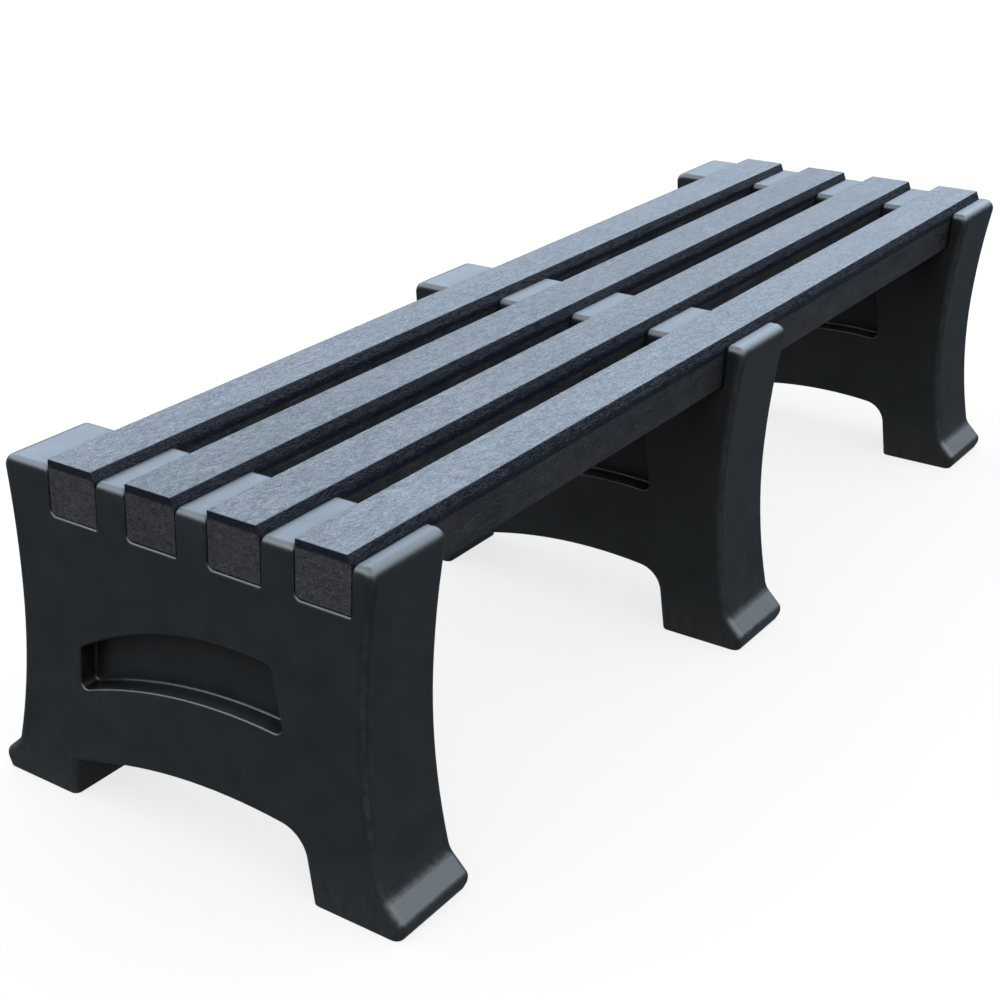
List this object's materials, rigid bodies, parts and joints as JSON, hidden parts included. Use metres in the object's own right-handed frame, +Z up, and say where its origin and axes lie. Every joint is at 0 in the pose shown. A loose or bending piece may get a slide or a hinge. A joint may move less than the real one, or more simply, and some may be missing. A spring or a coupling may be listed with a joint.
{
  "type": "backless bench",
  "caption": "Backless street bench with spaced lengthwise plastic slats set flush into slotted, waisted hollow moulded legs with splayed toes.",
  "frame": {"origin": "on the ground, at the middle of the bench's length and midway between the two rows of feet", "axes": "+X along the bench, +Y across it towards the rear, which has the wider ledge beside the slats, +Z up"},
  "size_m": [1.8, 0.616, 0.447],
  "materials": {
    "leg_plastic": "satin black moulded polyethylene with a fine, slightly uneven skin",
    "slat_plastic": "charcoal recycled plastic, streaky embossed top, mottled sides and ends",
    "fixing_steel": "plain stainless steel",
    "plug_plastic": "soft black push-in plug"
  },
  "bodies": {
    "root": {"leg_left_end": "leg_plastic", "leg_middle": "leg_plastic", "leg_right_end": "leg_plastic", "slat_rear": "slat_plastic", "slat_rear_inner": "slat_plastic", "slat_front_inner": "slat_plastic", "slat_front": "slat_plastic", "screws_left_end": "fixing_steel", "screws_middle": "fixing_steel", "screws_right_end": "fixing_steel", "washers_left_end": "fixing_steel", "washers_middle": "fixing_steel", "washers_right_end": "fixing_steel", "vent_plug_left_end": "plug_plastic", "vent_plug_middle": "plug_plastic", "vent_plug_right_end": "plug_plastic"}
  },
  "joints": []
}
